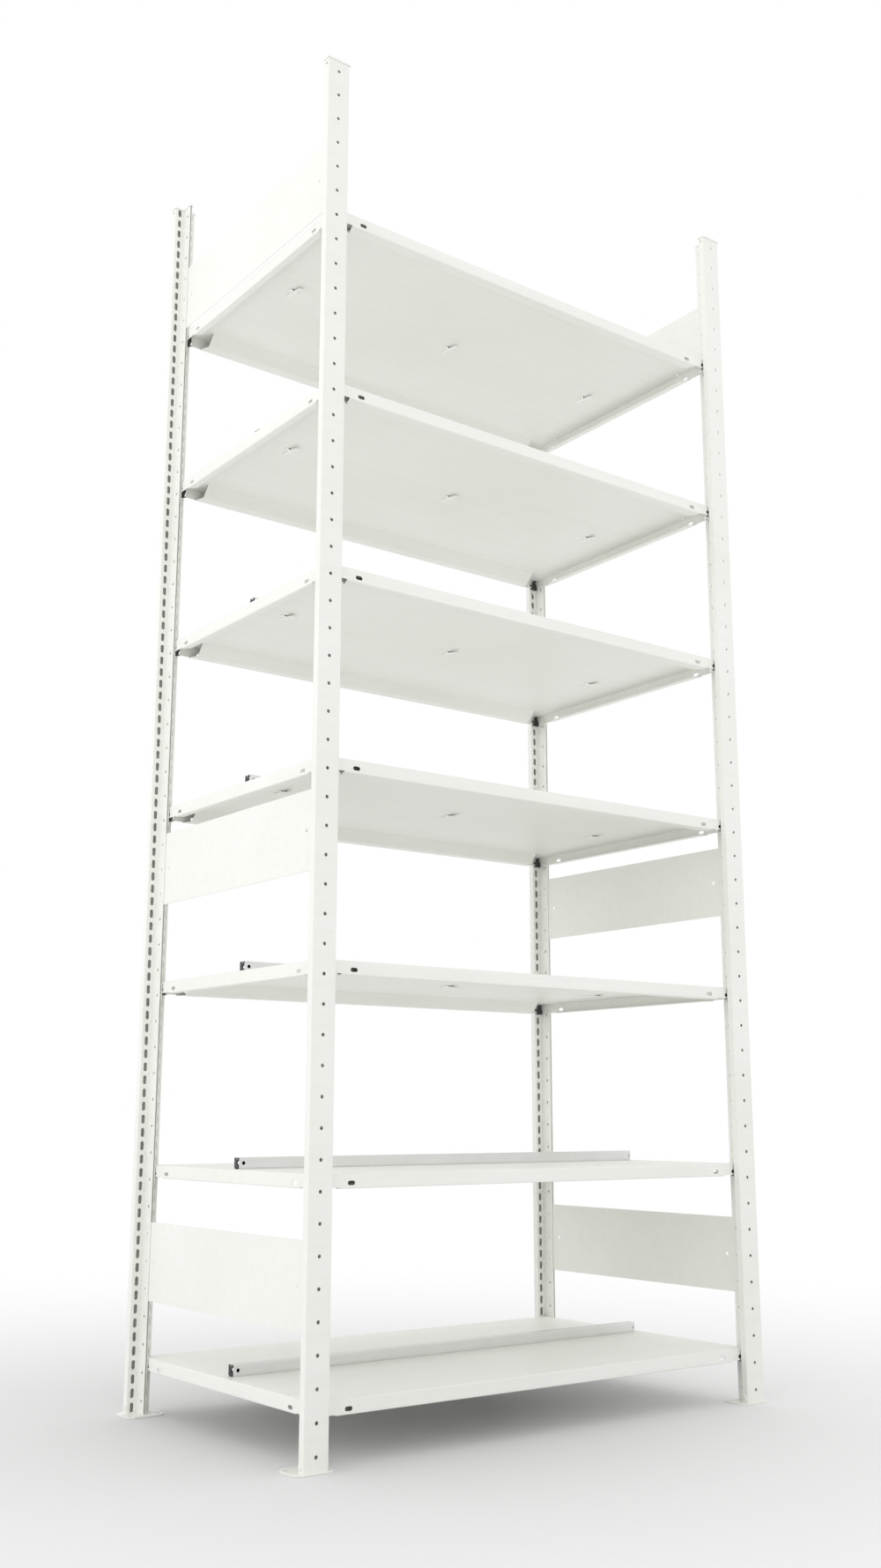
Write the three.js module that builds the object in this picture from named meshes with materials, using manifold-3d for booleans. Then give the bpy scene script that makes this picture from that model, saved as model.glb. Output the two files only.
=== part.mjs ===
// Office shelving unit: folded steel shelves that hang on plastic clips between four
// T-section posts, with a divider rail along each shelf and side panels at both ends.
// Millimetres. +Z is up, X runs along the shelves, Y runs from front to back.
// The origin lies on the floor, in the middle of the four feet.
import * as THREE from "three";
import { mergeVertices } from "three/addons/utils/BufferGeometryUtils.js";
import Module from "manifold-3d";

const wasm = await Module();
wasm.setup();

// Clearances
const fitGap = 0.3; // between pieces that fit into each other
const shelfToStem = 1.45; // from a shelf's end to the post's stem
const lipToFlange = 2.5; // from a post's lips to a shelf's long flange
const cutOverrun = 5; // how far a cut runs past the faces it goes through

// Posts: one folded sheet each, in the section of a T
const postLength = 2496;
const postSheet = 1.5;
const postWidth = 47;
const postBoxDepth = 15; // from the web's face to the lips' face
const stemReach = 28; // from the lips' face to the stem's free edge
const stemGap = 2.5; // between the two sheets of the stem
const webHoleWidth = 6.5;
const webHoleStart = 25; // height of the lowest hole
const webHolePitch = 50;
const hookSlotWidth = 7.4;
const hookSlotHeight = 17;
const hookSlotOffset = 14.3; // from the post's middle to the slot's middle
const hookSlotStart = 12.5; // height of the lowest slot row
const hookSlotPitch = 25;
const endHoleWidth = 5.2; // screw holes in the side walls, near both ends
const endHoleInset = 7.5; // behind the web's face
const topHoleDrop = 11.5; // below the top of the sheet

// Caps on the post tops
const capPlate = 2; // plastic above the post
const capSkirt = 2.6; // plastic down the post's sides
const capRim = 1.8; // how far the cap stands out around the post

// Feet: a plate with two upright tabs inside the post, and two screws
const footSheet = 3;
const footWidth = 78;
const footDepth = 62;
const footFront = 4; // plate in front of the web
const footCorner = 11.5; // clipped corners
const anchorWidth = 7;
const anchorLength = 12;
const anchorOffset = 28; // to each side of the post's middle
const anchorInset = 41; // behind the web's face
const tabSheet = 2;
const tabHeight = 20;
const screwRise = 12; // above the floor
const screwShankWidth = 4.4;
const screwHeadWidth = 9.5;
const screwHeadHeight = 2.5;

// Side panels, with their edges in the stems
const panelHeight = 143;
const panelRowShares = [0.1, 0.4, 0.92]; // of the web's hole rows, from the bottom
const panelTuck = 20; // how far an edge reaches into the stem
const panelHoleWidth = 6.5;
const panelHoleInset = 39; // from the panel's end

// Shelves: one folded sheet each
const shelfCount = 7;
const lowestShelfSlot = 3; // the slot row of the lowest shelf, counted from 0
const deckOverSlot = 14; // from the slot's middle up to the deck's top face
const shelfLength = 1000;
const shelfDepth = 600;
const shelfSheet = 1.2;
const shelfDrop = 24; // over the folded edges
const foldDrop = 2; // how far the folds lie lower than the plain edges at the corners
const beamWidth = 25; // the closed fold behind a long flange
const beamStart = 42; // from the shelf's end, at the flange
const beamTaper = 9; // the fold's slanted end
const endFoldWidth = 14; // the return on a short flange, its ends cut at 45 degrees
const endFoldStart = 51; // from the long flange
const flangeRowDrop = 15; // below the deck's top face, long flanges
const flangeSlotLength = 14.7;
const flangeSlotWidth = 7.4;
const flangeSlotInset = 67.3; // from the shelf's end
const endRowDrop = 15.5; // below the deck's top face, short flanges
const endSlotLength = 14.5;
const endSlotWidth = 6.5;
const endSlotInset = 69.2; // from the long flange
const deckHoleWidth = 5; // a small hole in the deck near each corner
const deckHoleInset = 7.5; // from the shelf's end
const deckHoleOffset = 87; // from the long flange

// Clips: each hooks into a post slot and holds a shelf's long flange
const clipPlateWidth = 18; // between lip and flange
const clipPlateMargin = 2; // of plate above the slot
const clipFloor = 3.1; // under the flange
const clipGrip = 8; // depth of the upstand behind the flange
const clipWidth = 11.4; // of the upstand
const clipHeadGap = 2.4; // between the upstand and the deck
const hookWidth = 6;
const hookThroat = 6; // height of the arm through the slot
const hookTail = 8; // how far the tail hangs below the slot
const hookTailDepth = 3;
// The upstand's outline: across as shares of its width, towards the shelf's end,
// and up as shares of its height
const upstandShares = [
  [-0.29, 0],
  [0.29, 0],
  [0.535, 0.14],
  [0.41, 0.36],
  [0.08, 0.68],
  [0.2, 0.89],
  [0.18, 1],
  [-0.34, 1],
  [-0.465, 0.91],
  [-0.465, 0.29],
];

// Divider rails, with their end caps and turn lugs
const railInset = 20; // from the shelf's end to the end cap's face
const railWidth = 17;
const railHeight = 20;
const railWall = 2;
const railFootHeight = 1.8; // the narrower foot on the deck
const railFootInset = 0.8;
const railGrooveWidth = 4;
const railGrooveDepth = 4;
const railRoof = 8; // from the channel up to the rail's top
const railPortWidth = 6.5; // round port in the front, near each end
const railPortInset = 10; // from the end cap's face
const railPortRise = 10.3;
const railPortDepth = 1.2;
const endCapSheet = 2;
const endCapNotch = 3.5; // radius of the round notch in the end cap
const endCapNotchRise = 10.3;
const lugInset = 80; // from the rail's end to the outermost lug
const lugShank = 5;
const lugBarLength = 43;
const lugBarWidth = 9;
const lugBarSheet = 3;
const lugArmLength = 16;
const lugArmWidth = 6;
const lugArmSheet = 2.4; // the cross arm between the deck and the bar
const lugTurn = 3; // degrees that the bar stands off the shelf's short way
const lugSlotLength = 23; // slot in the deck for the shank
const lugSlotWidth = 8;
const lugSlotShift = 1.7; // from the shank to the slot's middle

// Sizes that follow from those above
const shelfEnd = shelfLength / 2;
const shelfFront = shelfDepth / 2;
const stemHalf = stemGap / 2 + postSheet;
const stemEdge = postBoxDepth + stemReach;
const postHalf = postWidth / 2;
const postX = shelfEnd + shelfToStem + stemHalf;
const webY = shelfFront + lipToFlange + postBoxDepth;
const postTop = footSheet + postLength;
const cornerDrop = shelfDrop - foldDrop;

// Counts and sides
const lugCount = 3;
const holeSides = 6;
const screwSides = 8;
const arcSteps = 2; // straight sides in each round end of an oblong hole
const notchSteps = 3; // straight sides in the end cap's round notch

const steelWhite = { color: 0xe9eae6, roughness: 0.45, metalness: 0 };
const capWhite = { color: 0xe4e5e0, roughness: 0.5, metalness: 0 };
const clipBlack = { color: 0x2b2b2b, roughness: 0.5, metalness: 0 };
const railGrey = { color: 0xd0d1d1, roughness: 0.35, metalness: 0.9 };

// A closed three.js geometry as a manifold-3d solid
function solid(geometry) {
  const bare = geometry.clone();
  bare.deleteAttribute("normal");
  bare.deleteAttribute("uv");
  const merged = mergeVertices(bare);
  const mesh = new wasm.Mesh({
    numProp: 3,
    vertProperties: merged.attributes.position.array,
    triVerts: new Uint32Array(merged.index.array),
  });
  return new wasm.Manifold(mesh);
}

function joined(solids) {
  return solids.reduce((sum, next) => sum.add(next));
}

// A manifold-3d solid as three.js geometry
function geometryOf(made) {
  const { vertProperties, triVerts } = made.getMesh();
  const geometry = new THREE.BufferGeometry();
  geometry.setAttribute("position", new THREE.BufferAttribute(vertProperties, 3));
  geometry.setIndex(new THREE.BufferAttribute(triVerts, 1));
  geometry.computeVertexNormals();
  return geometry;
}

const unit = new THREE.Group();

function place(name, geometry, finish, [x, y, z], [across, deep] = [1, 1]) {
  const mesh = new THREE.Mesh(geometry, new THREE.MeshStandardMaterial(finish));
  mesh.name = name;
  mesh.position.set(x, y, z);
  mesh.scale.set(across, deep, 1);
  unit.add(mesh);
}

// A box between two values along each axis, in either order
function block([x0, x1], [y0, y1], [z0, z1]) {
  const box = new THREE.BoxGeometry(Math.abs(x1 - x0), Math.abs(y1 - y0), Math.abs(z1 - z0));
  box.translate((x0 + x1) / 2, (y0 + y1) / 2, (z0 + z1) / 2);
  return solid(box);
}

const [alongX, alongY, alongZ] = ["x", "y", "z"];

// Turns a shape's first, second and depth axes to the model's.
// A shape holds (x, y) where it is pushed along z, (y, z) along x, and (z, x) along y.
function turnTo(axis) {
  const x = new THREE.Vector3(1, 0, 0);
  const y = new THREE.Vector3(0, 1, 0);
  const z = new THREE.Vector3(0, 0, 1);
  const bases = { x: [y, z, x], y: [z, x, y], z: [x, y, z] };
  return new THREE.Matrix4().makeBasis(...bases[axis]);
}

// A flat shape pushed along an axis between two values, in either order
function pushed(shape, axis, a, b) {
  const depth = Math.abs(b - a);
  const options = { depth, bevelEnabled: false, curveSegments: arcSteps };
  const geometry = new THREE.ExtrudeGeometry(shape, options);
  geometry.translate(0, 0, Math.min(a, b));
  geometry.applyMatrix4(turnTo(axis));
  return solid(geometry);
}

function outline(points) {
  return new THREE.Shape(points.map(([u, v]) => new THREE.Vector2(u, v)));
}

// A ring of straight sides round a point
function ring(u, v, width, sides) {
  const points = [];
  for (let i = 0; i < sides; i++) {
    const angle = (i / sides) * 2 * Math.PI;
    points.push([u + (width / 2) * Math.cos(angle), v + (width / 2) * Math.sin(angle)]);
  }
  return points;
}

function roundHole(u, v, width) {
  return outline(ring(u, v, width, holeSides));
}

// An oblong hole with round ends. The long way is the shape's first axis, or its second.
function oblong(u, v, length, width, secondAxis = false) {
  const straight = (length - width) / 2;
  const [du, dv] = secondAxis ? [0, straight] : [straight, 0];
  const start = secondAxis ? 0 : -Math.PI / 2;
  const hole = new THREE.Shape();
  hole.absarc(u + du, v + dv, width / 2, start, start + Math.PI, false);
  hole.absarc(u - du, v - dv, width / 2, start + Math.PI, start + 2 * Math.PI, false);
  return hole;
}

function rectangle(u, v, width, height) {
  const [a, b] = [width / 2, height / 2];
  return outline([[u - a, v - b], [u + a, v - b], [u + a, v + b], [u - a, v + b]]);
}

// Heights: the web's hole rows, and the slot rows that carry the shelves

const webRows = Math.floor((postTop - webHoleStart) / webHolePitch) + 1;
const slotRows = Math.floor((postTop - hookSlotStart) / hookSlotPitch) + 1;
const slotsPerShelf = Math.round((slotRows - lowestShelfSlot) / shelfCount);
const webRowHeight = (row) => webHoleStart + row * webHolePitch;

const shelves = [];
for (let i = 0; i < shelfCount; i++) {
  const slot = hookSlotStart + (lowestShelfSlot + i * slotsPerShelf) * hookSlotPitch;
  shelves.push({ number: i + 1, slot, deck: slot + deckOverSlot });
}

// Pieces at the corners are drawn at the front right corner: x from the post's middle
// towards the outside, y from the web's face into the unit. The other corners mirror it.

function post() {
  const [half, depth, sheet, gap] = [postHalf, postBoxDepth, postSheet, stemGap / 2];
  const section = outline([
    [-gap, stemEdge],
    [-stemHalf, stemEdge],
    [-stemHalf, depth],
    [-half, depth],
    [-half, 0],
    [half, 0],
    [half, depth],
    [stemHalf, depth],
    [stemHalf, stemEdge],
    [gap, stemEdge],
    [gap, depth - sheet],
    [half - sheet, depth - sheet],
    [half - sheet, sheet],
    [sheet - half, sheet],
    [sheet - half, depth - sheet],
    [-gap, depth - sheet],
  ]);
  const body = pushed(section, alongZ, footSheet, postTop);
  const cuts = [];
  for (let row = 0; row < webRows; row++) {
    const hole = roundHole(webRowHeight(row), 0, webHoleWidth);
    cuts.push(pushed(hole, alongY, -cutOverrun, postSheet + cutOverrun));
  }
  for (const { slot } of shelves) {
    const opening = rectangle(slot, -hookSlotOffset, hookSlotHeight, hookSlotWidth);
    cuts.push(pushed(opening, alongY, postBoxDepth - cutOverrun, postBoxDepth + cutOverrun));
  }
  for (const height of [screwRise, postTop - topHoleDrop]) {
    const hole = outline(ring(endHoleInset, height, endHoleWidth, screwSides));
    cuts.push(pushed(hole, alongX, -postHalf - cutOverrun, postHalf + cutOverrun));
  }
  return geometryOf(body.subtract(joined(cuts)));
}

// The post's outline without its hollows, moved outward all round
function postOutline(grown) {
  const [half, depth] = [postHalf + grown, postBoxDepth + grown];
  const [stem, edge] = [stemHalf + grown, stemEdge + grown];
  return outline([
    [-half, -grown],
    [half, -grown],
    [half, depth],
    [stem, depth],
    [stem, edge],
    [-stem, edge],
    [-stem, depth],
    [-half, depth],
  ]);
}

function cap() {
  const body = pushed(postOutline(capRim), alongZ, -capSkirt, capPlate);
  return geometryOf(body.subtract(pushed(postOutline(fitGap), alongZ, -capSkirt - cutOverrun, 0)));
}

function foot() {
  const [half, front, back] = [footWidth / 2, -footFront, footDepth - footFront];
  const plate = outline([
    [footCorner - half, front],
    [half - footCorner, front],
    [half, front + footCorner],
    [half, back - footCorner],
    [half - footCorner, back],
    [footCorner - half, back],
    [-half, back - footCorner],
    [-half, front + footCorner],
  ]);
  for (const side of [-1, 1])
    plate.holes.push(oblong(side * anchorOffset, anchorInset, anchorLength, anchorWidth));
  const pieces = [pushed(plate, alongZ, 0, footSheet)];
  const tabFace = postHalf - postSheet - fitGap;
  const tabSpan = [postSheet + fitGap, postBoxDepth - postSheet - fitGap];
  const wall = outline(ring(endHoleInset, screwRise, screwShankWidth, screwSides));
  const head = outline(ring(endHoleInset, screwRise, screwHeadWidth, screwSides));
  for (const side of [-1, 1]) {
    const tab = [side * tabFace, side * (tabFace - tabSheet)];
    const headFace = side * (postHalf + fitGap);
    pieces.push(block(tab, tabSpan, [footSheet / 2, footSheet + tabHeight]));
    pieces.push(pushed(wall, alongX, side * (tabFace - tabSheet / 2), headFace + side * fitGap));
    pieces.push(pushed(head, alongX, headFace, headFace + side * screwHeadHeight));
  }
  return geometryOf(joined(pieces));
}

// A clip, with z from the middle of its slot
function clip() {
  const deckFace = deckOverSlot - shelfSheet;
  const edge = deckOverSlot - cornerDrop - fitGap; // just under the shelf's plain edge
  const bottom = edge - clipFloor;
  const slotBottom = -hookSlotHeight / 2;
  const middle = -hookSlotOffset;
  const plateFront = postBoxDepth + fitGap;
  const plateBack = postBoxDepth + lipToFlange - fitGap;
  const gripFront = postBoxDepth + lipToFlange + shelfSheet + fitGap;
  const gripHeight = deckFace - clipHeadGap - bottom;
  const upstand = outline(
    upstandShares.map(([across, up]) => [bottom + up * gripHeight, middle + across * clipWidth]),
  );
  const plateSpan = [middle - clipPlateWidth / 2, middle + clipPlateWidth / 2];
  const hookSpan = [middle - hookWidth / 2, middle + hookWidth / 2];
  const throatBottom = slotBottom + fitGap;
  const throatTop = throatBottom + hookThroat;
  const tailBack = postBoxDepth - postSheet - fitGap;
  const floorBack = gripFront + clipGrip / 2;
  const plate = outline([
    [plateFront, bottom],
    [floorBack, bottom],
    [floorBack, edge],
    [plateBack, edge],
    [plateBack, hookSlotHeight / 2 + clipPlateMargin],
    [plateFront, hookSlotHeight / 2 + clipPlateMargin],
  ]);
  const hook = outline([
    [(plateFront + plateBack) / 2, throatBottom],
    [(plateFront + plateBack) / 2, throatTop],
    [tailBack - hookTailDepth, throatTop],
    [tailBack - hookTailDepth, slotBottom - hookTail],
    [tailBack, slotBottom - hookTail],
    [tailBack, throatBottom],
  ]);
  return geometryOf(
    joined([
      pushed(plate, alongX, ...plateSpan),
      pushed(hook, alongX, ...hookSpan),
      pushed(upstand, alongY, gripFront, gripFront + clipGrip),
    ]),
  );
}

// A side panel, centred on its own middle
function panel() {
  const reach = webY - stemEdge + panelTuck;
  const sheet = outline([
    [-reach, -panelHeight / 2],
    [reach, -panelHeight / 2],
    [reach, panelHeight / 2],
    [-reach, panelHeight / 2],
  ]);
  for (const side of [-1, 1])
    sheet.holes.push(roundHole(side * (reach - panelHoleInset), 0, panelHoleWidth));
  const thickness = stemGap - 2 * fitGap;
  return geometryOf(pushed(sheet, alongX, -thickness / 2, thickness / 2));
}

// A flange's face as pairs of (place along the edge, height), lower between the folds
function flangeFace(end, foldEnd) {
  return [
    [-end, 0],
    [end, 0],
    [end, -cornerDrop],
    [foldEnd, -cornerDrop],
    [foldEnd, -shelfDrop],
    [-foldEnd, -shelfDrop],
    [-foldEnd, -cornerDrop],
    [-end, -cornerDrop],
  ];
}

// The long flange on one side of a shelf, and the closed beam folded in behind it
function longEdge(side) {
  const foldEnd = shelfEnd - beamStart;
  const legEnd = foldEnd - beamTaper;
  const legBack = shelfFront - beamWidth;
  const face = outline(flangeFace(shelfEnd, foldEnd).map(([x, z]) => [z, x]));
  const fold = outline([
    [-foldEnd, side * (shelfFront - shelfSheet / 2)],
    [foldEnd, side * (shelfFront - shelfSheet / 2)],
    [legEnd, side * legBack],
    [-legEnd, side * legBack],
  ]);
  const leg = [side * legBack, side * (legBack + shelfSheet)];
  return [
    pushed(face, alongY, side * shelfFront, side * (shelfFront - shelfSheet)),
    pushed(fold, alongZ, -shelfDrop, shelfSheet - shelfDrop),
    block([-legEnd, legEnd], leg, [shelfSheet / 2 - shelfDrop, -shelfSheet / 2]),
  ];
}

// The short flange at one end of a shelf, and its narrow return
function shortEdge(side) {
  const foldEnd = shelfFront - endFoldStart;
  const foldBack = foldEnd - endFoldWidth;
  const fold = outline([
    [side * (shelfEnd - shelfSheet / 2), -foldEnd],
    [side * (shelfEnd - shelfSheet / 2), foldEnd],
    [side * (shelfEnd - endFoldWidth), foldBack],
    [side * (shelfEnd - endFoldWidth), -foldBack],
  ]);
  const face = outline(flangeFace(shelfFront, foldEnd));
  return [
    pushed(face, alongX, side * shelfEnd, side * (shelfEnd - shelfSheet)),
    pushed(fold, alongZ, -shelfDrop, shelfSheet - shelfDrop),
  ];
}

const lugPlaces = [];
const lugReach = shelfEnd - railInset - lugInset;
for (let i = 0; i < lugCount; i++) lugPlaces.push(((2 * i) / (lugCount - 1) - 1) * lugReach);

// A slot in every flange and a hole in the deck near each corner, and the slots for the lugs
function shelfCuts() {
  const cuts = [];
  const through = (face) => [face + cutOverrun, face - shelfSheet - cutOverrun];
  const throughDeck = through(0);
  for (const across of [-1, 1])
    for (const deep of [-1, 1]) {
      const slotX = across * (shelfEnd - flangeSlotInset);
      const slotY = deep * (shelfFront - endSlotInset);
      const flangeSlot = oblong(-flangeRowDrop, slotX, flangeSlotLength, flangeSlotWidth, true);
      const endSlot = oblong(slotY, -endRowDrop, endSlotLength, endSlotWidth);
      cuts.push(pushed(flangeSlot, alongY, ...through(shelfFront).map((y) => deep * y)));
      cuts.push(pushed(endSlot, alongX, ...through(shelfEnd).map((x) => across * x)));
      const holeX = across * (shelfEnd - deckHoleInset);
      const holeY = deep * (shelfFront - deckHoleOffset);
      cuts.push(pushed(roundHole(holeX, holeY, deckHoleWidth), alongZ, ...throughDeck));
    }
  for (const x of lugPlaces) {
    const slot = rectangle(x - lugSlotShift, 0, lugSlotLength, lugSlotWidth);
    cuts.push(pushed(slot, alongZ, ...throughDeck));
  }
  return joined(cuts);
}

// A shelf, with z from the deck's top face
function shelf() {
  const deck = block([-shelfEnd, shelfEnd], [-shelfFront, shelfFront], [-shelfSheet, 0]);
  const edges = [-1, 1].flatMap((side) => [...longEdge(side), ...shortEdge(side)]);
  return geometryOf(joined([deck, ...edges]).subtract(shelfCuts()));
}

// A lug under the rail: a shank from the rail's channel, a cross arm and a turned bar
function lug(x) {
  const armTop = -shelfSheet - fitGap;
  const armBottom = armTop - lugArmSheet;
  const sunk = lugArmSheet / 2; // the bar reaches this far into the arm
  const half = lugShank / 2;
  const bar = new THREE.BoxGeometry(lugBarWidth, lugBarLength, lugBarSheet + sunk);
  bar.rotateZ(THREE.MathUtils.degToRad(lugTurn));
  bar.translate(x, 0, armBottom + sunk - (lugBarSheet + sunk) / 2);
  const armX = [x - lugArmLength / 2, x + lugArmLength / 2];
  const shankTop = railHeight - (railGrooveDepth + railRoof) / 2;
  return joined([
    block([x - half, x + half], [-half, half], [armBottom, shankTop]),
    block(armX, [-lugArmWidth / 2, lugArmWidth / 2], [armBottom, armTop]),
    solid(bar),
  ]);
}

// The end cap at one end of a rail, with a square notch on top and a round one in front
function endCap(side) {
  const half = railWidth / 2;
  const [groove, floor] = [railGrooveWidth / 2, railHeight - railGrooveDepth];
  const notch = [];
  for (let i = 0; i <= notchSteps; i++) {
    const angle = (i / notchSteps - 1 / 2) * Math.PI;
    const [inward, up] = [endCapNotch * Math.cos(angle), endCapNotch * Math.sin(angle)];
    notch.push([inward - half, endCapNotchRise + up]);
  }
  const face = outline([
    [-half, railFootHeight],
    ...notch,
    [-half, railHeight],
    [-groove, railHeight],
    [-groove, floor],
    [groove, floor],
    [groove, railHeight],
    [half, railHeight],
    [half, railFootHeight],
  ]);
  const outer = side * (shelfEnd - railInset);
  return pushed(face, alongX, outer, outer - side * endCapSheet);
}

// A rail with its end caps and lugs, with z from the deck's top face
function rail() {
  const end = shelfEnd - railInset;
  const barEnd = end - endCapSheet / 2;
  const half = railWidth / 2;
  const [foot, channel] = [half - railFootInset, half - railWall];
  const [groove, floor] = [railGrooveWidth / 2, railHeight - railGrooveDepth];
  const roof = railHeight - railRoof;
  const section = outline([
    [-foot, 0],
    [-foot, railFootHeight],
    [-half, railFootHeight],
    [-half, railHeight],
    [-groove, railHeight],
    [-groove, floor],
    [groove, floor],
    [groove, railHeight],
    [half, railHeight],
    [half, railFootHeight],
    [foot, railFootHeight],
    [foot, 0],
    [channel, 0],
    [channel, roof],
    [-channel, roof],
    [-channel, 0],
  ]);
  const cuts = [-1, 1].map((side) => {
    const port = roundHole(railPortRise, side * (end - railPortInset), railPortWidth);
    return pushed(port, alongY, -half - cutOverrun, railPortDepth - half);
  });
  const bar = pushed(section, alongX, -barEnd, barEnd).subtract(joined(cuts));
  return geometryOf(joined([bar, endCap(-1), endCap(1), ...lugPlaces.map(lug)]));
}

// The unit

const corners = [
  { name: "front_left", across: -1, deep: 1 },
  { name: "front_right", across: 1, deep: 1 },
  { name: "back_left", across: -1, deep: -1 },
  { name: "back_right", across: 1, deep: -1 },
];
const [postShape, capShape, footShape, clipShape] = [post(), cap(), foot(), clip()];
const [panelShape, shelfShape, railShape] = [panel(), shelf(), rail()];

for (const { name, across, deep } of corners) {
  const at = (z) => [across * postX, -deep * webY, z];
  const mirror = [across, deep];
  place(`post_${name}`, postShape, steelWhite, at(0), mirror);
  place(`foot_${name}`, footShape, steelWhite, at(0), mirror);
  place(`cap_${name}`, capShape, capWhite, at(postTop), mirror);
  for (const { number, slot } of shelves)
    place(`clip_${number}_${name}`, clipShape, clipBlack, at(slot), mirror);
}

for (const [row, share] of panelRowShares.entries()) {
  const middle = webRowHeight(Math.round(share * (webRows - 1)));
  const level = ["low", "middle", "top"][row];
  place(`panel_${level}_left`, panelShape, steelWhite, [-postX, 0, middle]);
  place(`panel_${level}_right`, panelShape, steelWhite, [postX, 0, middle]);
}

for (const { number, deck } of shelves) {
  place(`shelf_${number}`, shelfShape, steelWhite, [0, 0, deck]);
  place(`rail_${number}`, railShape, railGrey, [0, 0, deck]);
}

export default unit;
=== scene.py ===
# %% [markdown]
# # A white steel shelving bay for an office
#
# This lesson dresses a finished CAD model. The object is a free-standing bay: four
# T-shaped posts, seven tray shelves on black plastic clips, a divider rail along every
# shelf, and three side panels at each end. The CAD solids say where each piece is and
# how large it is. Here every piece is modelled once more, with the bend radii, the rows
# of holes and the finishes that make folded steel look like folded steel.
#
# Loading the CAD model comes first. All its nodes are in metres, with X along the
# shelves, Y from front to back and Z up, and the floor at zero.

# %% Load the CAD model
import math
from contextlib import contextmanager

import bmesh
import bpy
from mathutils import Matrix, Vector


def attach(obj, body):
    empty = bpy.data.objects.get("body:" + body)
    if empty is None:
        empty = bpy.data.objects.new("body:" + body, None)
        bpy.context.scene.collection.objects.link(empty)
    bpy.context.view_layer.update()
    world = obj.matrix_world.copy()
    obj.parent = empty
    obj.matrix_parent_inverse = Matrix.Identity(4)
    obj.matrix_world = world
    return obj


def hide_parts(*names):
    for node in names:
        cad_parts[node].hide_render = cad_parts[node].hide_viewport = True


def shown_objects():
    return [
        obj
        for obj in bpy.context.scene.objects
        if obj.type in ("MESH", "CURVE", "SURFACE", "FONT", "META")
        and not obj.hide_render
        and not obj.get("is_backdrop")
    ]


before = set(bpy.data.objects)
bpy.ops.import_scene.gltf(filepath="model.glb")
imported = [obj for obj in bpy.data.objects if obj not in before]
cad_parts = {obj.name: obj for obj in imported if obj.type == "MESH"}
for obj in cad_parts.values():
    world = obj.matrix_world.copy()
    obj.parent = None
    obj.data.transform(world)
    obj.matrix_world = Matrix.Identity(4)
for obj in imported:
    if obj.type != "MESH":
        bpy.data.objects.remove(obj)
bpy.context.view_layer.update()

# %% [markdown]
# ## Working as by hand
#
# A person at the screen adds a primitive, opens it in edit mode, selects some faces or
# edges and then extrudes, stretches or bevels them. The helpers below do the same steps.
# Sizes are written in millimetres, because that is how sheet metal is drawn, and one
# number turns them into Blender's metres.

# %% Helpers: start a piece, shape it, select in it
MM = 0.001
UNIT = {
    "plane": {"size": 1},
    "cube": {"size": 1},
    "cylinder": {"radius": 0.5, "depth": 1},
    "circle": {"radius": 0.5},
}


def only(piece):
    """Deselects everything else and makes this piece the active one."""
    bpy.ops.object.select_all(action="DESELECT")
    piece.select_set(True)
    bpy.context.view_layer.objects.active = piece


def settle(piece):
    """Moves a piece's place, turn and size into its mesh."""
    only(piece)
    bpy.ops.object.transform_apply(location=True, rotation=True, scale=True)


def start(primitive, size, middle=(0, 0, 0), turn=(0, 0, 0), **settings):
    """Adds a primitive of this size in mm, turned by degrees, round this middle."""
    bpy.ops.object.select_all(action="DESELECT")
    add = getattr(bpy.ops.mesh, f"primitive_{primitive}_add")
    add(**UNIT[primitive], **settings)
    piece = bpy.context.object
    piece.scale = [s * MM for s in size]
    piece.rotation_euler = [math.radians(a) for a in turn]
    piece.location = [m * MM for m in middle]
    settle(piece)
    return piece


@contextmanager
def shaping(piece):
    """Edit mode on one piece, for as long as the block lasts."""
    only(piece)
    bpy.ops.object.mode_set(mode="EDIT")
    yield
    bpy.ops.object.mode_set(mode="OBJECT")


def pick(kind, test):
    """Selects verts, edges or faces whose middle in mm, and direction, pass a test."""
    modes = {"verts": "VERT", "edges": "EDGE", "faces": "FACE"}
    bpy.ops.mesh.select_mode(type=modes[kind])
    bpy.ops.mesh.select_all(action="DESELECT")
    mesh = bmesh.from_edit_mesh(bpy.context.edit_object.data)
    for part in getattr(mesh, kind):
        if kind == "verts":
            middle, way = part.co, part.normal
        elif kind == "edges":
            ends = [v.co for v in part.verts]
            middle, way = (ends[0] + ends[1]) / 2, (ends[1] - ends[0]).normalized()
        else:
            middle, way = part.calc_center_median(), part.normal
        if test(middle / MM, way):
            part.select_set(True)
    mesh.select_flush_mode()
    bmesh.update_edit_mesh(bpy.context.edit_object.data)


def near(a, b):
    """Whether two lengths in mm are the same, give or take a hair."""
    return abs(a - b) < 0.02


# %% Helpers: extrude, move, stretch, cut
def extrude(x=0, y=0, z=0):
    """Extrudes what is selected by this much in mm."""
    bpy.ops.mesh.extrude_region_move(
        TRANSFORM_OT_translate={"value": (x * MM, y * MM, z * MM)}
    )


def stretch(x=1, y=1, z=1, about=(0, 0, 0)):
    """Stretches what is selected by these factors, away from a point in mm."""
    centre = [a * MM for a in about]
    bpy.ops.transform.resize(value=(x, y, z), center_override=centre)


def bisect(point, normal, **settings):
    """Cuts what is selected along a plane through a point in mm."""
    bpy.ops.mesh.bisect(
        plane_co=[p * MM for p in point], plane_no=normal, threshold=1e-6, **settings
    )


def bevel(width, segments, **settings):
    """Rounds the selected edges over this width in mm."""
    bpy.ops.mesh.bevel(
        offset=width * MM, segments=segments, affect="EDGES", **settings
    )


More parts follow.
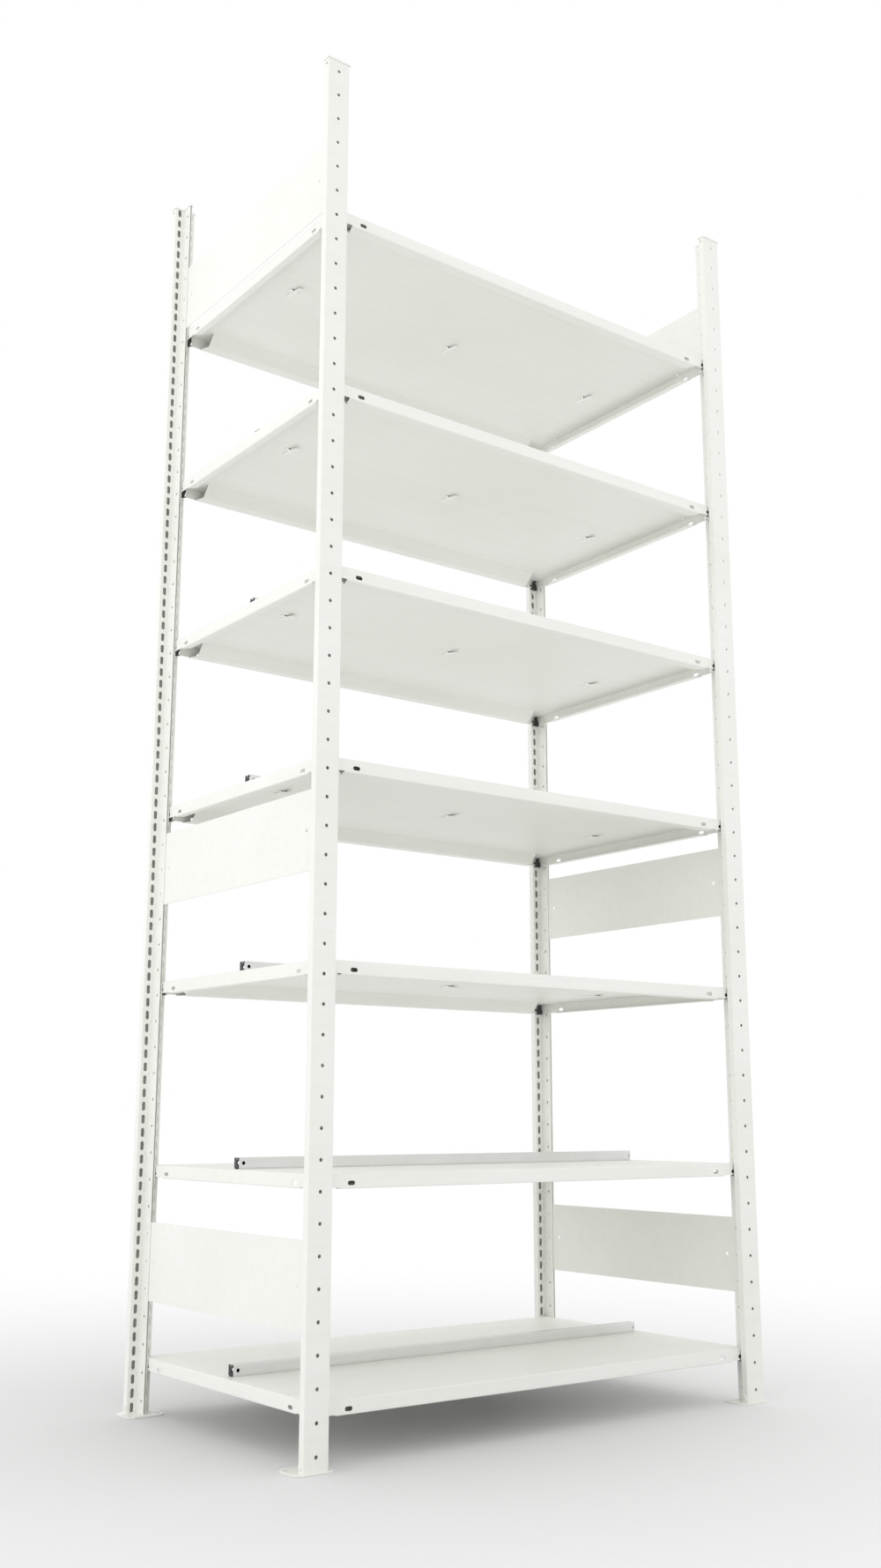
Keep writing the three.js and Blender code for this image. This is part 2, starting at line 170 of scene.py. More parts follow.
def modify(piece, kind, **settings):
    """Adds a modifier with these settings and applies it."""
    only(piece)
    modifier = piece.modifiers.new(kind.title(), kind)
    for name, value in settings.items():
        setattr(modifier, name, value)
    bpy.ops.object.modifier_apply(modifier=modifier.name)


def round_edges(piece, width, segments=2, sharper_than=60):
    """Rounds every edge that is sharper than this many degrees, over a width in mm."""
    modify(piece, "BEVEL", width=width * MM, segments=segments, limit_method="ANGLE",
           angle_limit=math.radians(sharper_than))


def fuse(pieces):
    """Joins several objects into the first one."""
    only(pieces[0])
    for piece in pieces[1:]:
        piece.select_set(True)
    bpy.ops.object.join()
    return pieces[0]


def cut(piece, cutters):
    """Takes all the cutters out of a closed piece in one go."""
    cutter = fuse(cutters)
    modify(piece, "BOOLEAN", object=cutter, operation="DIFFERENCE", solver="EXACT")
    bpy.data.objects.remove(cutter)


def face_out(piece):
    """Merges doubled corners and turns all faces outwards."""
    with shaping(piece):
        bpy.ops.mesh.select_all(action="SELECT")
        bpy.ops.mesh.remove_doubles(threshold=1e-6)
        bpy.ops.mesh.normals_make_consistent(inside=False)


# %% [markdown]
# Holes come in two kinds on this object, round and oblong. Both cutters start as a
# cylinder. For an oblong hole the two halves of the cylinder are drawn apart, which
# keeps the round ends round. A cylinder of 14 sides is enough: the posts alone have
# eight hundred slots, and each one costs faces. A cutter of 10 mm goes right through any
# sheet here and reaches no other one.

# %% Helpers: cutters and flat outlines
THROUGH = 10
DRILL_ALONG_X = (0, 90, 0)
DRILL_ALONG_Y = (90, 0, 0)
DRILL_ALONG_Z = (0, 0, 0)
SLOT_ALONG_Y_UPRIGHT = (90, 0, 0)
SLOT_ALONG_Y_LYING = (90, 90, 0)
SLOT_ALONG_X_LYING = (0, 90, 0)
SLOT_ALONG_Z_IN_X = (0, 0, 90)


def drill(middle, width, depth, turn, length=0, sides=14):
    """A cutter for a round hole, or an oblong one where a length is given."""
    cutter = start("cylinder", (width, width, depth), vertices=sides)
    if length:
        with shaping(cutter):
            for side in (-1, 1):
                pick("verts", lambda p, n: p.y * side > 0.01)
                shift = side * (length - width) / 2
                bpy.ops.transform.translate(value=(0, shift * MM, 0))
    cutter.rotation_euler = [math.radians(a) for a in turn]
    cutter.location = [m * MM for m in middle]
    settle(cutter)
    return cutter


def plate_of(outline, along, reach):
    """A plate with this outline: a circle whose corners are moved, then extruded."""
    shape = start("circle", (1, 1, 1), vertices=len(outline), fill_type="NGON")
    with shaping(shape):
        mesh = bmesh.from_edit_mesh(shape.data)
        mesh.verts.ensure_lookup_table()
        for vertex, (u, v) in zip(mesh.verts, outline):
            spots = {"x": (reach[0], u, v), "y": (u, reach[0], v), "z": (u, v, reach[0])}
            vertex.co = Vector(spots[along]) * MM
        bmesh.update_edit_mesh(shape.data)
        bpy.ops.mesh.select_all(action="SELECT")
        extrude(**{along: reach[1] - reach[0]})
    face_out(shape)
    return shape


# %% [markdown]
# ## The camera
#
# The photograph is taken from the front left, from about the height of a low table, with
# the camera tipped up by twelve degrees. So the lower decks show their top and the upper
# ones their underside. The place and the lens were worked out from the even rows of
# holes in the posts, which are as good as a ruler.

# %% Camera
camera_data = bpy.data.cameras.new("camera")
camera_data.sensor_fit = "VERTICAL"
FOCAL_PIXELS, PHOTO_HIGH = 1742.38, 1779
camera_data.sensor_height = 36
camera_data.lens = FOCAL_PIXELS * camera_data.sensor_height / PHOTO_HIGH
camera = bpy.data.objects.new("camera", camera_data)
camera.location = (-1.8848, -2.4768, 0.5459)
camera.rotation_euler = [math.radians(a) for a in (102.1652, -0.0464, -36.9167)]
bpy.context.scene.collection.objects.link(camera)
bpy.context.scene.camera = camera
bpy.context.scene.view_settings.view_transform = "Standard"
print("lens in mm:", round(camera_data.lens, 2))

# %% [markdown]
# ## Finishes
#
# Each finish is a node material on Object coordinates, so its grain has a real size and
# stays with the piece. Colours are picked as sRGB hex values, as in any paint program,
# and one function turns them into the linear values that shaders use. One more function
# adds a node, sets its options and links its sockets.


# %% Helpers: colour and nodes
def paint(code):
    """An sRGB hex value as a linear colour."""
    parts = [int(code[i : i + 2], 16) / 255 for i in (1, 3, 5)]
    curve = [p / 12.92 if p <= 0.04045 else ((p + 0.055) / 1.055) ** 2.4 for p in parts]
    return (*curve, 1)


def node(material, kind, options=None, sockets=None):
    """Adds a node. A socket takes a value, or the output of another node."""
    tree = material.node_tree
    made = tree.nodes.new("ShaderNode" + kind)
    for name, value in (options or {}).items():
        setattr(made, name, value)
    for name, value in (sockets or {}).items():
        if isinstance(value, bpy.types.NodeSocket):
            tree.links.new(value, made.inputs[name])
        else:
            made.inputs[name].default_value = value
    return made


def finish_named(name):
    """An empty material with its shader, its output and its Object coordinates."""
    material = bpy.data.materials.new(name)
    material.use_nodes = True
    material.node_tree.nodes.clear()
    shader = node(material, "BsdfPrincipled")
    node(material, "OutputMaterial", sockets={"Surface": shader.outputs[0]})
    spot = node(material, "TexCoord").outputs["Object"]
    return material, shader, spot


def per_metre(size):
    """How many times a pattern of this size in mm fits into a metre."""
    return 1000 / size


# %% [markdown]
# **Powder coat.** The steel is sprayed with an off-white polyester powder that melts and
# flows in an oven. That leaves a satin film with a faint orange peel, some 2 to 3 mm from
# crest to crest. It is drawn at 5 mm here, because the finer one would vanish in a
# picture of a whole bay. The film is a little thicker in some places than in others,
# which shows as a very slow change of tone, and on the wide sheets the rolling direction
# of the steel shines through as long faint streaks along X.

# %% Powder coat on the steel
powder_white, shader, spot = finish_named("off-white powder coat")
peel = node(powder_white, "TexNoise", sockets={
    "Vector": spot, "Scale": per_metre(5), "Detail": 3, "Roughness": 0.55,
})
drift = node(powder_white, "TexNoise", sockets={
    "Vector": spot, "Scale": per_metre(240), "Detail": 2, "Roughness": 0.5,
})
rolled = node(powder_white, "Mapping", sockets={
    "Vector": spot, "Scale": (per_metre(900), per_metre(14), per_metre(14)),
})
streaks = node(powder_white, "TexNoise", sockets={
    "Vector": rolled.outputs[0], "Scale": 1, "Detail": 4, "Roughness": 0.6,
})
film = node(powder_white, "Mix", {"data_type": "FLOAT"}, {
    0: 0.45, 2: drift.outputs["Fac"], 3: streaks.outputs["Fac"],
})
tone = node(powder_white, "ValToRGB", sockets={"Fac": film.outputs[0]})
tone.color_ramp.elements[0].position = 0.3
tone.color_ramp.elements[0].color = paint("#EFF0EA")
tone.color_ramp.elements[1].position = 0.7
tone.color_ramp.elements[1].color = paint("#F6F7F2")
gloss = node(powder_white, "MapRange", sockets={
    "Value": film.outputs[0], "From Min": 0.3, "From Max": 0.7,
    "To Min": 0.38, "To Max": 0.5,
})
skin = node(powder_white, "Bump", sockets={
    "Height": peel.outputs["Fac"], "Strength": 0.25, "Distance": 0.15 * MM,
})
powder_white.node_tree.links.new(tone.outputs[0], shader.inputs["Base Color"])
powder_white.node_tree.links.new(gloss.outputs[0], shader.inputs["Roughness"])
powder_white.node_tree.links.new(skin.outputs[0], shader.inputs["Normal"])
shader.inputs["IOR"].default_value = 1.5
print("made", powder_white.name)

# %% [markdown]
# **White moulded plastic.** The caps on the posts and the turn lugs are ABS, moulded
# against a finely eroded steel wall. It is whiter and flatter than the powder coat, so
# the lugs stand out against the decks. It lets a little light in, and its grain of about
# 0.3 mm is drawn at 1.5 mm.

# %% White plastic of caps and lugs
plastic_white, shader, spot = finish_named("moulded off-white ABS")
grain = node(plastic_white, "TexNoise", sockets={
    "Vector": spot, "Scale": per_metre(1.5), "Detail": 2, "Roughness": 0.7,
})
flow = node(plastic_white, "TexNoise", sockets={
    "Vector": spot, "Scale": per_metre(20), "Detail": 2, "Roughness": 0.5,
})
tone = node(plastic_white, "ValToRGB", sockets={"Fac": flow.outputs["Fac"]})
tone.color_ramp.elements[0].position = 0.3
tone.color_ramp.elements[0].color = paint("#F6F6F3")
tone.color_ramp.elements[1].position = 0.7
tone.color_ramp.elements[1].color = paint("#FEFEFC")
gloss = node(plastic_white, "MapRange", sockets={
    "Value": grain.outputs["Fac"], "To Min": 0.42, "To Max": 0.58,
})
skin = node(plastic_white, "Bump", sockets={
    "Height": grain.outputs["Fac"], "Strength": 0.2, "Distance": 0.08 * MM,
})
plastic_white.node_tree.links.new(tone.outputs[0], shader.inputs["Base Color"])
plastic_white.node_tree.links.new(gloss.outputs[0], shader.inputs["Roughness"])
plastic_white.node_tree.links.new(skin.outputs[0], shader.inputs["Normal"])
shader.inputs["IOR"].default_value = 1.53
shader.inputs["Subsurface Weight"].default_value = 0.05
shader.inputs["Subsurface Scale"].default_value = 1 * MM
print("made", plastic_white.name)

# %% [markdown]
# **Black nylon.** The clips carry the shelves, so they are moulded from nylon with glass
# fibre. The fibres leave the skin dull and slightly mottled, dark grey more than black
# wherever light falls on it.

# %% Black nylon of the clips
nylon_black, shader, spot = finish_named("black glass-filled nylon")
fibres = node(nylon_black, "TexNoise", sockets={
    "Vector": spot, "Scale": per_metre(1.2), "Detail": 4, "Roughness": 0.7,
})
tone = node(nylon_black, "ValToRGB", sockets={"Fac": fibres.outputs["Fac"]})
tone.color_ramp.elements[0].position = 0.35
tone.color_ramp.elements[0].color = paint("#1D1E1F")
tone.color_ramp.elements[1].position = 0.75
tone.color_ramp.elements[1].color = paint("#333435")
gloss = node(nylon_black, "MapRange", sockets={
    "Value": fibres.outputs["Fac"], "To Min": 0.4, "To Max": 0.62,
})
skin = node(nylon_black, "Bump", sockets={
    "Height": fibres.outputs["Fac"], "Strength": 0.3, "Distance": 0.06 * MM,
})
nylon_black.node_tree.links.new(tone.outputs[0], shader.inputs["Base Color"])
nylon_black.node_tree.links.new(gloss.outputs[0], shader.inputs["Roughness"])
nylon_black.node_tree.links.new(skin.outputs[0], shader.inputs["Normal"])
shader.inputs["IOR"].default_value = 1.53
print("made", nylon_black.name)

# %% [markdown]
# **Anodised aluminium.** The divider rails are extruded through a steel die, and every
# nick of the die draws a hairline along the whole rail. Anodising keeps the lines and
# turns the mirror into a soft silver. So the pattern is long along X and fine across it.
# A real line is 0.1 mm wide and is drawn at 0.8 mm.

# %% Anodised aluminium of the rails
rail_silver, shader, spot = finish_named("natural anodised aluminium")
drawn = node(rail_silver, "Mapping", sockets={
    "Vector": spot, "Scale": (per_metre(400), per_metre(0.8), per_metre(0.8)),
})
lines = node(rail_silver, "TexNoise", sockets={
    "Vector": drawn.outputs[0], "Scale": 1, "Detail": 3, "Roughness": 0.6,
})
cloud = node(rail_silver, "TexNoise", sockets={
    "Vector": spot, "Scale": per_metre(60), "Detail": 2,
})
wear = node(rail_silver, "Mix", {"data_type": "FLOAT"}, {
    0: 0.35, 2: lines.outputs["Fac"], 3: cloud.outputs["Fac"],
})
tone = node(rail_silver, "ValToRGB", sockets={"Fac": wear.outputs[0]})
tone.color_ramp.elements[0].position = 0.3
tone.color_ramp.elements[0].color = paint("#E0E0DF")
tone.color_ramp.elements[1].position = 0.7
tone.color_ramp.elements[1].color = paint("#EDEDEC")
gloss = node(rail_silver, "MapRange", sockets={
    "Value": lines.outputs["Fac"], "To Min": 0.28, "To Max": 0.44,
})
skin = node(rail_silver, "Bump", sockets={
    "Height": lines.outputs["Fac"], "Strength": 0.2, "Distance": 0.03 * MM,
})
rail_silver.node_tree.links.new(tone.outputs[0], shader.inputs["Base Color"])
rail_silver.node_tree.links.new(gloss.outputs[0], shader.inputs["Roughness"])
rail_silver.node_tree.links.new(skin.outputs[0], shader.inputs["Normal"])
shader.inputs["Metallic"].default_value = 1
print("made", rail_silver.name)

# %% [markdown]
# **Polished dark plastic.** The end caps of the rails come out of a polished mould. They
# are nearly black and mirror the bright room, with only a slow waviness where the
# plastic has shrunk, and a few dull specks of dust.

# %% Polished dark plastic of the rail ends
plastic_dark, shader, spot = finish_named("polished dark ABS")
sink = node(plastic_dark, "TexNoise", sockets={
    "Vector": spot, "Scale": per_metre(9), "Detail": 1,
})
dust = node(plastic_dark, "TexNoise", sockets={
    "Vector": spot, "Scale": per_metre(1), "Detail": 3, "Roughness": 0.8,
})
tone = node(plastic_dark, "ValToRGB", sockets={"Fac": sink.outputs["Fac"]})
tone.color_ramp.elements[0].position = 0.3
tone.color_ramp.elements[0].color = paint("#1A1B1D")
tone.color_ramp.elements[1].position = 0.7
tone.color_ramp.elements[1].color = paint("#2B2C2F")
gloss = node(plastic_dark, "MapRange", sockets={
    "Value": dust.outputs["Fac"], "From Min": 0.5, "From Max": 0.8,
    "To Min": 0.09, "To Max": 0.3,
})
skin = node(plastic_dark, "Bump", sockets={
    "Height": sink.outputs["Fac"], "Strength": 0.3, "Distance": 0.2 * MM,
})
plastic_dark.node_tree.links.new(tone.outputs[0], shader.inputs["Base Color"])
plastic_dark.node_tree.links.new(gloss.outputs[0], shader.inputs["Roughness"])
plastic_dark.node_tree.links.new(skin.outputs[0], shader.inputs["Normal"])
shader.inputs["IOR"].default_value = 1.53
print("made", plastic_dark.name)

# %% [markdown]
# ## Finishing a piece
#
# A piece is smoothed across its bends and kept sharp at its cut edges. The weighted
# normals then keep the wide flat faces flat right up to a bend. Last it gets its material
# and is tied to the CAD body that it moves with, and the CAD node it stands for is
# hidden.
#
# What repeats is modelled once and copied. The four corners of the bay are mirror
# images, so a corner piece is drawn at the front right corner, with x from the post's
# middle outwards and y from the post's front face into the bay. A post stands on its
# foot plate, 3 mm above the floor.

# %% Helpers: smooth, copy and finish
POST_X, WEB_Y, POST_FOOT, POST_TOP = 504.2, 317.5, 3, 2499
CORNERS = {
    "front_left": (-1, 1),
    "front_right": (1, 1),
    "back_left": (-1, -1),
    "back_right": (1, -1),
}
LOWEST_DECK, DECK_STEP = 101.5, 350
DECKS = {k: LOWEST_DECK + DECK_STEP * (k - 1) for k in range(1, 8)}


def smooth(piece, angle=40):
    """Smooth bends, sharp edges, flat faces."""
    only(piece)
    bpy.ops.object.shade_smooth_by_angle(angle=math.radians(angle))
    modify(piece, "WEIGHTED_NORMAL", keep_sharp=True)


def finish(piece, name, material, slot, body, *nodes):
    """Names a piece, paints it and ties it to the CAD model."""
    piece.name = piece.data.name = name
    piece.data.materials.clear()
    piece.data.materials.append(material)
    smooth(piece)
    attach(piece, body)
    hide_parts(*nodes)


def copy_of(model, at, mirror=(1, 1)):
    """A copy with its own mesh, mirrored across X or Y if need be, at a place in mm."""
    piece = model.copy()
    piece.data = model.data.copy()
    bpy.context.scene.collection.objects.link(piece)
    piece.scale = (*mirror, 1)
    piece.location = [a * MM for a in at]
    settle(piece)
    if mirror != (1, 1):
        face_out(piece)
    return piece


def at_corner(corner, z):
    """Where a corner's pieces have their origin, in mm, at a height."""
    across, deep = CORNERS[corner]
    return across * POST_X, -deep * WEB_Y, z


# %% [markdown]
# ## Posts
#
# A post is one strip of 1.5 mm steel. A roll former folds it into a flat box and brings
# both edges together at the back, as a double stem with a gap of 2.5 mm, so that its
# section is a T. The strip is punched before it is folded: a row of round holes in the
# web, two rows of upright slots in the lips, and small holes through the stem.
#
# The holes repeat every 50 mm. So only a module of that height is modelled: the web is a
# plane whose edges are extruded round the section, the bends are bevelled, Solidify
# gives the steel its thickness, and the holes are cut. An Array stacks fifty modules, and
# two bisects trim the stack. That is far lighter than cutting 300 holes in a long post.

# %% One module of a post
PITCH = 50
POST_HALF, POST_DEPTH, STEM_HALF, STEM_EDGE = 23.5, 15, 2.75, 43
STEEL = 1.5
OUTER_BEND, STEM_BEND = 1.9, 1.2

post = start("plane", (2 * POST_HALF, PITCH, 1), (0, 0, PITCH / 2), (90, 0, 0))
with shaping(post):
    pick("edges", lambda p, n: near(abs(p.x), POST_HALF))
    extrude(y=POST_DEPTH)
    extrude()
    stretch(x=STEM_HALF / POST_HALF)
    extrude(y=STEM_EDGE - POST_DEPTH)
    pick("edges", lambda p, n: abs(n.z) > 0.9 and near(abs(p.x), POST_HALF))
    bevel(OUTER_BEND, 3)
    pick("edges", lambda p, n: abs(n.z) > 0.9 and near(abs(p.x), STEM_HALF)
         and near(p.y, POST_DEPTH))
    bevel(STEM_BEND, 2)
face_out(post)
web_normal = next(f.normal for f in post.data.polygons if near(f.center.y / MM, 0))
if web_normal.y > 0:
    with shaping(post):
        bpy.ops.mesh.select_all(action="SELECT")
        bpy.ops.mesh.flip_normals()
modify(post, "SOLIDIFY", thickness=STEEL * MM, offset=-1, use_even_offset=True)
print("module of a post:", len(post.data.polygons), "faces before its holes")

# %% Punch the module and stack it
MODULES = 50
WEB_HOLE, STEM_HOLE, STEM_HOLE_Y = 6.5, 5.6, 32
SLOT_X, SLOT_Z, SLOT_WIDE, SLOT_HIGH = (-14.3, 13), (12.5, 37.5), 7.4, 17
cutters = [
    drill((0, 0, PITCH / 2), WEB_HOLE, THROUGH, DRILL_ALONG_Y, sides=16),
    drill((0, STEM_HOLE_Y, PITCH / 2), STEM_HOLE, 2 * THROUGH, DRILL_ALONG_X, sides=12),
]
for x in SLOT_X:
    for z in SLOT_Z:
        middle = (x, POST_DEPTH, z)
        cutters.append(
            drill(middle, SLOT_WIDE, THROUGH, SLOT_ALONG_Y_UPRIGHT, SLOT_HIGH)
        )
cut(post, cutters)
with shaping(post):
    pick("faces", lambda p, n: abs(n.z) > 0.99 and (near(p.z, 0) or near(p.z, PITCH)))
    bpy.ops.mesh.delete(type="ONLY_FACE")
modify(
    post, "ARRAY", count=MODULES, use_relative_offset=False, use_constant_offset=True,
    constant_offset_displace=(0, 0, PITCH * MM), use_merge_vertices=True,
    merge_threshold=1e-5,
)
with shaping(post):
    bpy.ops.mesh.select_all(action="SELECT")
    bisect((0, 0, POST_FOOT), (0, 0, 1), clear_inner=True, use_fill=True)
    bpy.ops.mesh.select_all(action="SELECT")
    bisect((0, 0, POST_TOP), (0, 0, 1), clear_outer=True, use_fill=True)
face_out(post)
print("post:", len(post.data.polygons), "faces")

# %% Screw holes in the side walls, and the four posts
SCREW_HOLE, SCREW_Y, SCREW_Z, TOP_HOLE_Z = 5.2, 7.5, 12, 2487.5
cut(post, [
    drill((0, SCREW_Y, z), SCREW_HOLE, 6 * THROUGH, DRILL_ALONG_X)
    for z in (SCREW_Z, TOP_HOLE_Z)
])
for corner, mirror in CORNERS.items():
    piece = copy_of(post, at_corner(corner, 0), mirror)
    finish(piece, f"post_sheet_{corner}", powder_white, "steel_white", "frame",
           f"post_{corner}")
bpy.data.objects.remove(post)
print("posts done")

# %% [markdown]
# ## Caps
#
# A moulded cap closes each post top. It follows the T of the post all round, stands out
# by less than 2 mm and has a short skirt. The body is a cube, its stem is extruded from
# a strip of the back face, the underside is inset and pushed up to make the skirt, and
# the edges are rounded, which draws the thin bright line at the top of the posts.

# %% Caps on the posts
RIM, SKIRT, SKIRT_WALL, LID = 1.8, 2.6, 1.5, 2
wide, front, back = 2 * (POST_HALF + RIM), -RIM, POST_DEPTH + RIM
cap = start("cube", (wide, back - front, SKIRT + LID),
            (0, (front + back) / 2, (LID - SKIRT) / 2))
with shaping(cap):
    for side in (-1, 1):
        bpy.ops.mesh.select_all(action="SELECT")
        bisect((side * (STEM_HALF + RIM), 0, 0), (1, 0, 0))
    pick("faces", lambda p, n: n.y > 0.9 and near(p.x, 0))
    extrude(y=STEM_EDGE + RIM - back)
    pick("faces", lambda p, n: n.z < -0.9)
    bpy.ops.mesh.inset(thickness=SKIRT_WALL * MM)
    extrude(z=SKIRT)
face_out(cap)
round_edges(cap, 0.7, 3)
for corner, mirror in CORNERS.items():
    piece = copy_of(cap, at_corner(corner, POST_TOP), mirror)
    finish(piece, f"post_cap_{corner}", plastic_white, "cap_plastic", "frame",
           f"cap_{corner}")
bpy.data.objects.remove(cap)
print("caps done")

# %% [markdown]
# ## Feet
#
# A foot is a 3 mm plate with clipped corners and two oblong holes for floor anchors. Two
# tabs stand up from it inside the post, and a low screw through each side wall of the
# post holds them. The tabs are cubes that reach 1 mm into the plate. They are joined with
# it, because plate and tabs are one piece of metal on the real foot.

# %% Foot plates
FOOT = {"wide": 78, "deep": 62, "thick": POST_FOOT, "front": -4, "corner": 11.5,
        "rounding": 2.5}
ANCHOR_X, ANCHOR_Y, ANCHOR_WIDE, ANCHOR_LONG = 28, 41, 7, 12
TAB_FACE, TAB_SHEET, TAB_ROUNDING, TAB_Y, TAB_Z = 21.7, 2, 3, (1.8, 13.2), (2, 23)
foot = start("cube", (FOOT["wide"], FOOT["deep"], FOOT["thick"]),
             (0, FOOT["front"] + FOOT["deep"] / 2, FOOT["thick"] / 2))
with shaping(foot):
    pick("edges", lambda p, n: abs(n.z) > 0.9)
    bevel(FOOT["corner"], 1)
    pick("edges", lambda p, n: abs(n.z) > 0.9)
    bevel(FOOT["rounding"], 2)
cut(foot, [
    drill((x, ANCHOR_Y, 0), ANCHOR_WIDE, 2 * THROUGH, SLOT_ALONG_Z_IN_X, ANCHOR_LONG)
    for x in (-ANCHOR_X, ANCHOR_X)
])
round_edges(foot, 0.5)
tabs = []
for side in (-1, 1):
    middle = (side * (TAB_FACE - TAB_SHEET / 2), sum(TAB_Y) / 2, sum(TAB_Z) / 2)
    tab = start("cube", (TAB_SHEET, TAB_Y[1] - TAB_Y[0], TAB_Z[1] - TAB_Z[0]), middle)
    with shaping(tab):
        pick("edges", lambda p, n: near(p.z, TAB_Z[1]) and abs(n.x) > 0.9)
        bevel(TAB_ROUNDING, 3)
    tabs.append(tab)
foot = fuse([foot, *tabs])
for corner, mirror in CORNERS.items():
    piece = copy_of(foot, at_corner(corner, 0), mirror)
    finish(piece, f"foot_plate_{corner}", powder_white, "steel_white", "frame",
           f"foot_{corner}")
bpy.data.objects.remove(foot)
print("foot plates done")

# %% [markdown]
# The screws have raised heads with a cross recess. A head is a cylinder whose outer face
# is pushed out and drawn in by three steps, which gives the low dome. The shank comes out
# of the back face, and two slim wedges are cut into the head for the recess.

# %% Screws
HEAD_WIDE, HEAD_EDGE, HEAD_HIGH = 9.5, 1, 2.5
DOME_STEPS = ((0.7, 0.5), (0.5, 0.9), (0.3, 1.4))
SHANK_INSET, SHANK_LONG = 2.55, 4
RECESS, RECESS_TAPER = (4.6, 1, 2.6), (0.45, 0.6, 1)
SCREW_GAP = 0.05
screw = start("cylinder", (HEAD_WIDE, HEAD_WIDE, HEAD_EDGE), (0, 0, HEAD_EDGE / 2),
              vertices=24)
with shaping(screw):
    pick("faces", lambda p, n: n.z > 0.9)
    for rise, inward in DOME_STEPS:
        extrude(z=rise)
        shrink = 1 - inward / (HEAD_WIDE / 2)
        bpy.ops.transform.resize(value=(shrink, shrink, 1))
    pick("faces", lambda p, n: n.z < -0.9)
    bpy.ops.mesh.inset(thickness=SHANK_INSET * MM)
    extrude(z=-SHANK_LONG)
wings = []
for turn in (0, 90):
    wing = start("cube", RECESS, (0, 0, HEAD_HIGH), (0, 0, turn))
    with shaping(wing):
        pick("faces", lambda p, n: n.z < -0.9)
        bpy.ops.transform.resize(value=RECESS_TAPER)
    wings.append(wing)
for wing in wings:
    cut(screw, [wing])
screw.rotation_euler = (0, math.radians(90), 0)
screw.location = ((POST_HALF + SCREW_GAP) * MM, SCREW_Y * MM, SCREW_Z * MM)
settle(screw)
for corner, (across, deep) in CORNERS.items():
    for hand, side in (("inner", -1), ("outer", 1)):
        piece = copy_of(screw, at_corner(corner, 0), (across * side, deep))
        finish(piece, f"foot_screw_{hand}_{corner}", powder_white, "steel_white",
               "frame", f"foot_{corner}")
bpy.data.objects.remove(screw)
print("screws done")

# %% [markdown]
# ## Side panels
#
# Three panels stand one above the other at each end of the bay, with their upright edges
# pushed into the gap between the two sheets of the stems. Each is a plain sheet, 143 mm
# high, with its edges lightly rounded by the paint and one small hole near either end.

# %% Side panels
PANEL_HIGH, PANEL_REACH, PANEL_THICK = 143, 294.5, 1.9
PANEL_ROWS = {"low": 275, "middle": 1025, "top": 2275}
PANEL_HOLE, PANEL_HOLE_Y = 6.5, 255.5
panel = start("cube", (PANEL_THICK, 2 * PANEL_REACH, PANEL_HIGH))
cut(panel, [
    drill((0, y, 0), PANEL_HOLE, THROUGH, DRILL_ALONG_X, sides=24)
    for y in (-PANEL_HOLE_Y, PANEL_HOLE_Y)
])
round_edges(panel, 0.4)
for level, z in PANEL_ROWS.items():
    for hand, side in (("left", -1), ("right", 1)):
        piece = copy_of(panel, (side * POST_X, 0, z))
        finish(piece, f"side_panel_{level}_{hand}", powder_white, "steel_white",
               "frame", f"panel_{level}_{hand}")
bpy.data.objects.remove(panel)
print("side panels done")

# %% [markdown]
# ## Shelves
#
# A shelf is one sheet of 1.2 mm steel, 1000 by 600 mm. Along the front and back it is
# folded down, in and up again, which makes a closed beam under each long edge. The last
# fold leans inwards, so that the beam's section is a wedge and its inner side is nearly
# as bright as the deck's underside. At the ends the sheet is folded down and in once. The
# beams and the returns stop short of the corners, so the corners are open from below, and
# there the flanges are plain and 2 mm less high.
#
# It is drawn as it is folded: the deck is a plane, its edges are extruded down, in and
# up, all bends are bevelled together, and Solidify gives the thickness last. The edge of
# the leaning fold is then pressed level, so that it closes against the deck.

# %% Fold a shelf
LONG, DEEP, SHEET, BEND, RELIEF = 500, 300, 1.2, 1.8, 2.2
PLAIN_DROP, DROP = 22, 24
BEAM_END, LEG_END, LEG_BACK, LEG_TOP, LEG_GAP = 458, 449, 275, 254, 0.02
RETURN_END, RETURN_BACK, RETURN_WIDE = 249, 235, 14

